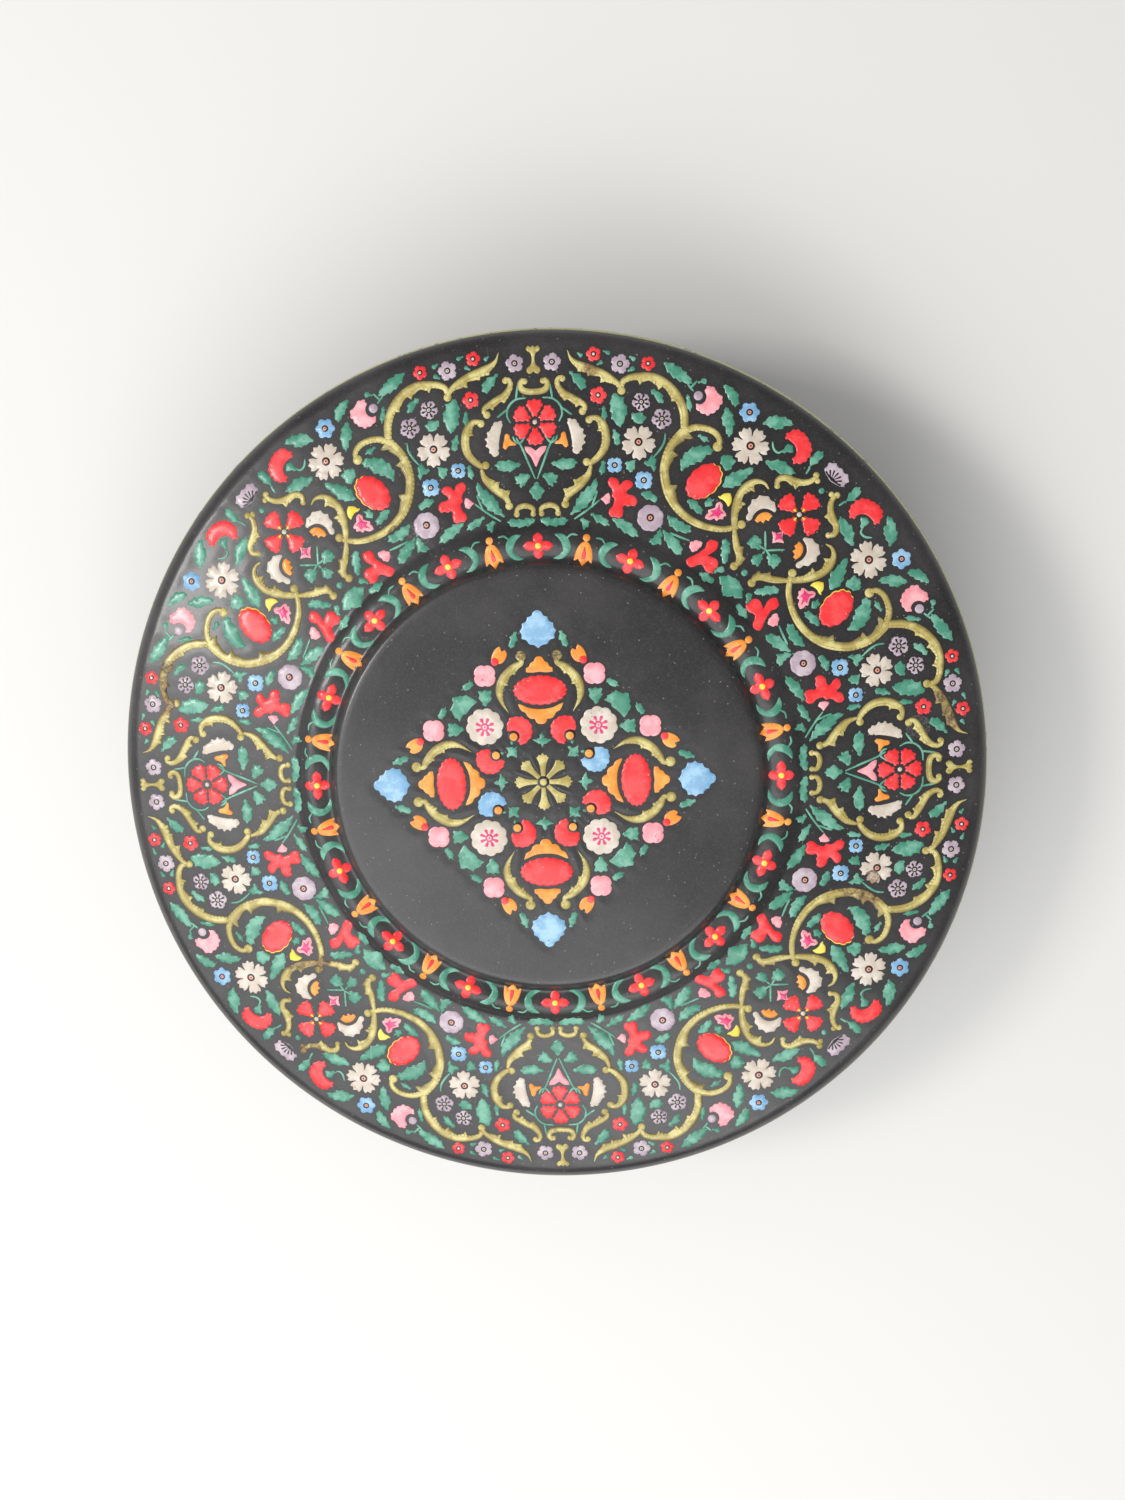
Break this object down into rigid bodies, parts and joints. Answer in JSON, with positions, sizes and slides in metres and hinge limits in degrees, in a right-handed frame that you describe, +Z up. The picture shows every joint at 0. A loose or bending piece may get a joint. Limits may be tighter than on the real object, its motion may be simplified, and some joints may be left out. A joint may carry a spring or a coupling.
{
  "type": "round lidded tin",
  "caption": "Round printed tinplate storage tin with a shallow slip-on lid, embossed with a ring border, flower sprays and scrolls, on a plain black seamed body.",
  "frame": {"origin": "centre of the base seam, on the resting plane", "axes": "+Z up through the lid; +Y is the top of the lid's picture; the wall's lock seam is at -Y"},
  "size_m": [0.2544, 0.2544, 0.0764],
  "materials": {
    "printed_lid": "black lacquer, printed and embossed, satin",
    "black_lacquer": "black lacquer, satin"
  },
  "bodies": {
    "body": {"body_wall": "black_lacquer", "base": "black_lacquer"},
    "lid": {"lid": "printed_lid"}
  },
  "joints": [
    {"name": "lid_lift", "type": "slide", "parent": "body", "child": "lid", "axis": [0, 0, 1], "range_m": [0, 0.09]}
  ]
}
